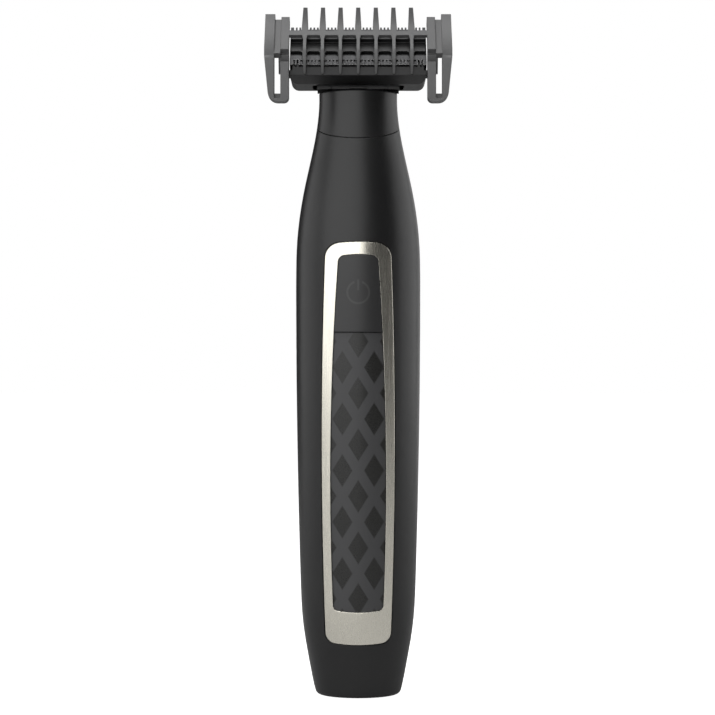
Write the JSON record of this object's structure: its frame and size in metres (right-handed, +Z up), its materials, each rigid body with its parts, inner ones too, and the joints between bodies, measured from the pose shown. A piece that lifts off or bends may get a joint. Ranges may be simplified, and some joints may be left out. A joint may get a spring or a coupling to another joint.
{
  "type": "body groomer",
  "caption": "Slim hand-held body groomer with a rocking two-sided blade head, a metal-ringed window with power button and grip panel, and a clip-on guide comb",
  "frame": {"origin": "centre of the flat base face that the handle stands on", "axes": "+Z up the handle from base to head; the front with the button faces -Y; +X is to the viewer's right"},
  "size_m": [0.045, 0.0257, 0.1674],
  "materials": {
    "body": "satin black moulded handle, softly glossy",
    "trim": "champagne-nickel coloured metal, fine upright brushing, bevelled edges",
    "panel": "dark grey soft grip with a glossy tone-on-tone pattern",
    "button": "dark grey satin, faint power sign",
    "comb": "dark grey matte moulding",
    "head": "black matte moulding",
    "blade": "ground stainless steel with fine diagonal grind",
    "steel": "plain steel",
    "nickel": "nickel strip",
    "brass": "turned brass",
    "battery": "sleeved cell",
    "board": "green circuit board",
    "led": "clear lamp",
    "inner_plastic": "plain dark engineering plastic",
    "rubber": "soft black seal"
  },
  "bodies": {
    "handle": {"front_shell": "body", "rear_shell": "body", "neck_collar": "body", "base_cap": "body", "trim_ring": "trim", "grip_panel": "panel", "chassis": "inner_plastic", "battery_cell": "battery", "battery_tabs": "nickel", "circuit_board": "board", "power_switch": "inner_plastic", "charge_led": "led", "usb_socket": "steel", "socket_tongue": "inner_plastic", "socket_seal": "rubber", "motor": "steel", "motor_screws": "steel", "motor_terminals": "nickel", "lever_pin": "steel", "neck_bearing": "head", "case_screws": "steel", "board_screws": "steel"},
    "button": {"power_button": "button", "switch_plunger": "inner_plastic"},
    "rotor": {"eccentric": "brass"},
    "lever": {"drive_lever": "inner_plastic"},
    "cradle": {"head_cradle": "head", "pivot_pins": "steel"},
    "cartridge": {"head_frame": "head", "guard_plate": "blade", "centre_cover": "head"},
    "cutter": {"cutter": "blade", "cutter_carrier": "inner_plastic"},
    "comb": {"guide_comb": "comb"}
  },
  "joints": [
    {"name": "button_press", "type": "slide", "parent": "handle", "child": "button", "axis": [0, 1, 0], "range_m": [0, 0.0008], "stiffness_N_per_m": 400},
    {"name": "rotor_spin", "type": "hinge", "parent": "handle", "child": "rotor", "pos_m": [0, 0, 0.12], "axis": [0, 0, 1], "continuous": true},
    {"name": "lever_swing", "type": "hinge", "parent": "handle", "child": "lever", "pos_m": [0, 0, 0.1364], "axis": [0, 1, 0], "range_deg": [-3.58, 3.58]},
    {"name": "head_rock", "type": "hinge", "parent": "handle", "child": "cradle", "pos_m": [0, 0, 0.148], "axis": [1, 0, 0], "range_deg": [-5, 5], "stiffness_Nm_per_rad": 0.12},
    {"name": "cartridge_release", "type": "slide", "parent": "cradle", "child": "cartridge", "axis": [0, 0, 1], "range_m": [0, 0.02]},
    {"name": "cutter_stroke", "type": "slide", "parent": "cartridge", "child": "cutter", "axis": [1, 0, 0], "range_m": [-0.00099, 0.00099]},
    {"name": "comb_release", "type": "slide", "parent": "cartridge", "child": "comb", "axis": [0, -0.788, 0.6157], "range_m": [0, 0.03]}
  ],
  "couplings": [
    {"joint": "lever_swing", "follows": "cutter_stroke", "rad_per_m": 62.5}
  ]
}
